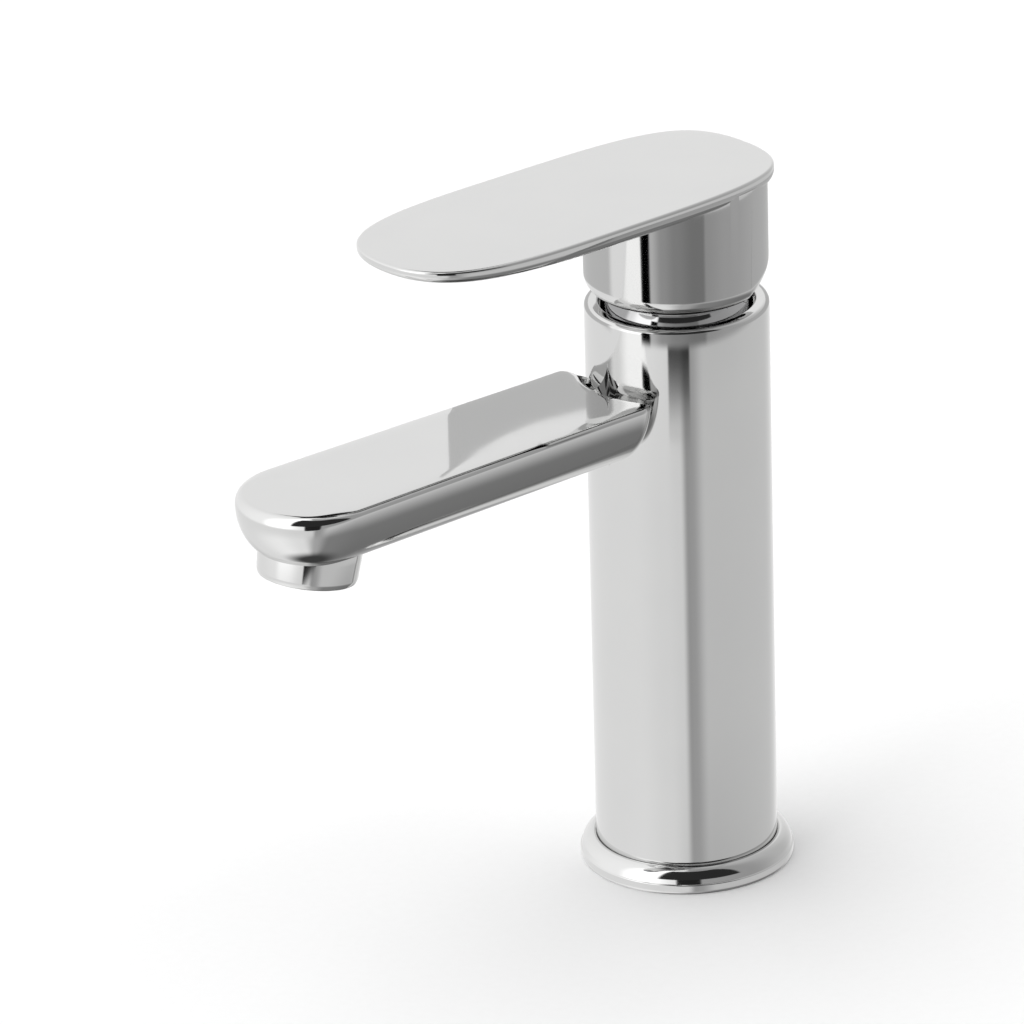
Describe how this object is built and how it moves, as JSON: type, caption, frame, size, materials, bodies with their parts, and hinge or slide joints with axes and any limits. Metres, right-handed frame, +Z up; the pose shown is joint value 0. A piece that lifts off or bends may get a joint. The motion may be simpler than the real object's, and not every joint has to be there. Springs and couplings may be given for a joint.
{
  "type": "basin mixer tap",
  "caption": "Bathroom basin mixer: round chromed column, flat forward spout with a tilted aerator, and a paddle lever that lifts for flow and turns for temperature.",
  "frame": {"origin": "centre of the foot, on the deck surface", "axes": "+Z up along the column, spout and lever along -Y, +X to the side"},
  "size_m": [0.0564, 0.1701, 0.1941],
  "materials": {
    "polished_chrome": "polished",
    "dark_polished_chrome": "polished",
    "raw_brass": "machined",
    "stainless_steel": "satin",
    "white_acetal": "moulded",
    "grey_acetal": "moulded",
    "alumina": "lapped",
    "nitrile_rubber": "matt"
  },
  "bodies": {
    "body": {"body_shell": "polished_chrome", "spout": "polished_chrome", "base_ring": "polished_chrome", "base_gasket": "nitrile_rubber", "valve_block": "raw_brass", "cartridge_housing": "white_acetal", "cartridge_seal": "nitrile_rubber", "cartridge_base": "grey_acetal", "inlet_seals": "nitrile_rubber", "fixed_ceramic_disc": "alumina", "temperature_limit_ring": "grey_acetal", "cartridge_nut": "raw_brass", "dome_cover": "dark_polished_chrome", "aerator_shell": "polished_chrome", "aerator_gasket": "nitrile_rubber", "outlet_grille": "grey_acetal", "stream_straightener": "white_acetal", "flow_regulator": "white_acetal", "inlet_strainer": "white_acetal"},
    "rotor": {"stem_rotor": "grey_acetal", "rotor_seal": "nitrile_rubber", "stem_pin": "stainless_steel"},
    "disc": {"moving_ceramic_disc": "alumina", "disc_carriage": "grey_acetal"},
    "lever": {"lever_handle": "polished_chrome", "lever_stem": "stainless_steel", "lever_grub_screw": "stainless_steel", "screw_plug": "polished_chrome"}
  },
  "joints": [
    {"name": "temperature_turn", "type": "hinge", "parent": "body", "child": "rotor", "pos_m": [0, 0, 0.15], "axis": [0, 0, 1], "range_deg": [-50, 50]},
    {"name": "lever_lift", "type": "hinge", "parent": "rotor", "child": "lever", "pos_m": [0, 0, 0.15], "axis": [-1, 0, 0], "range_deg": [0, 18]},
    {"name": "disc_slide", "type": "slide", "parent": "rotor", "child": "disc", "axis": [0, -1, 0], "range_m": [0, 0.0045]}
  ],
  "couplings": [
    {"joint": "disc_slide", "follows": "lever_lift", "m_per_rad": 0.01378}
  ]
}
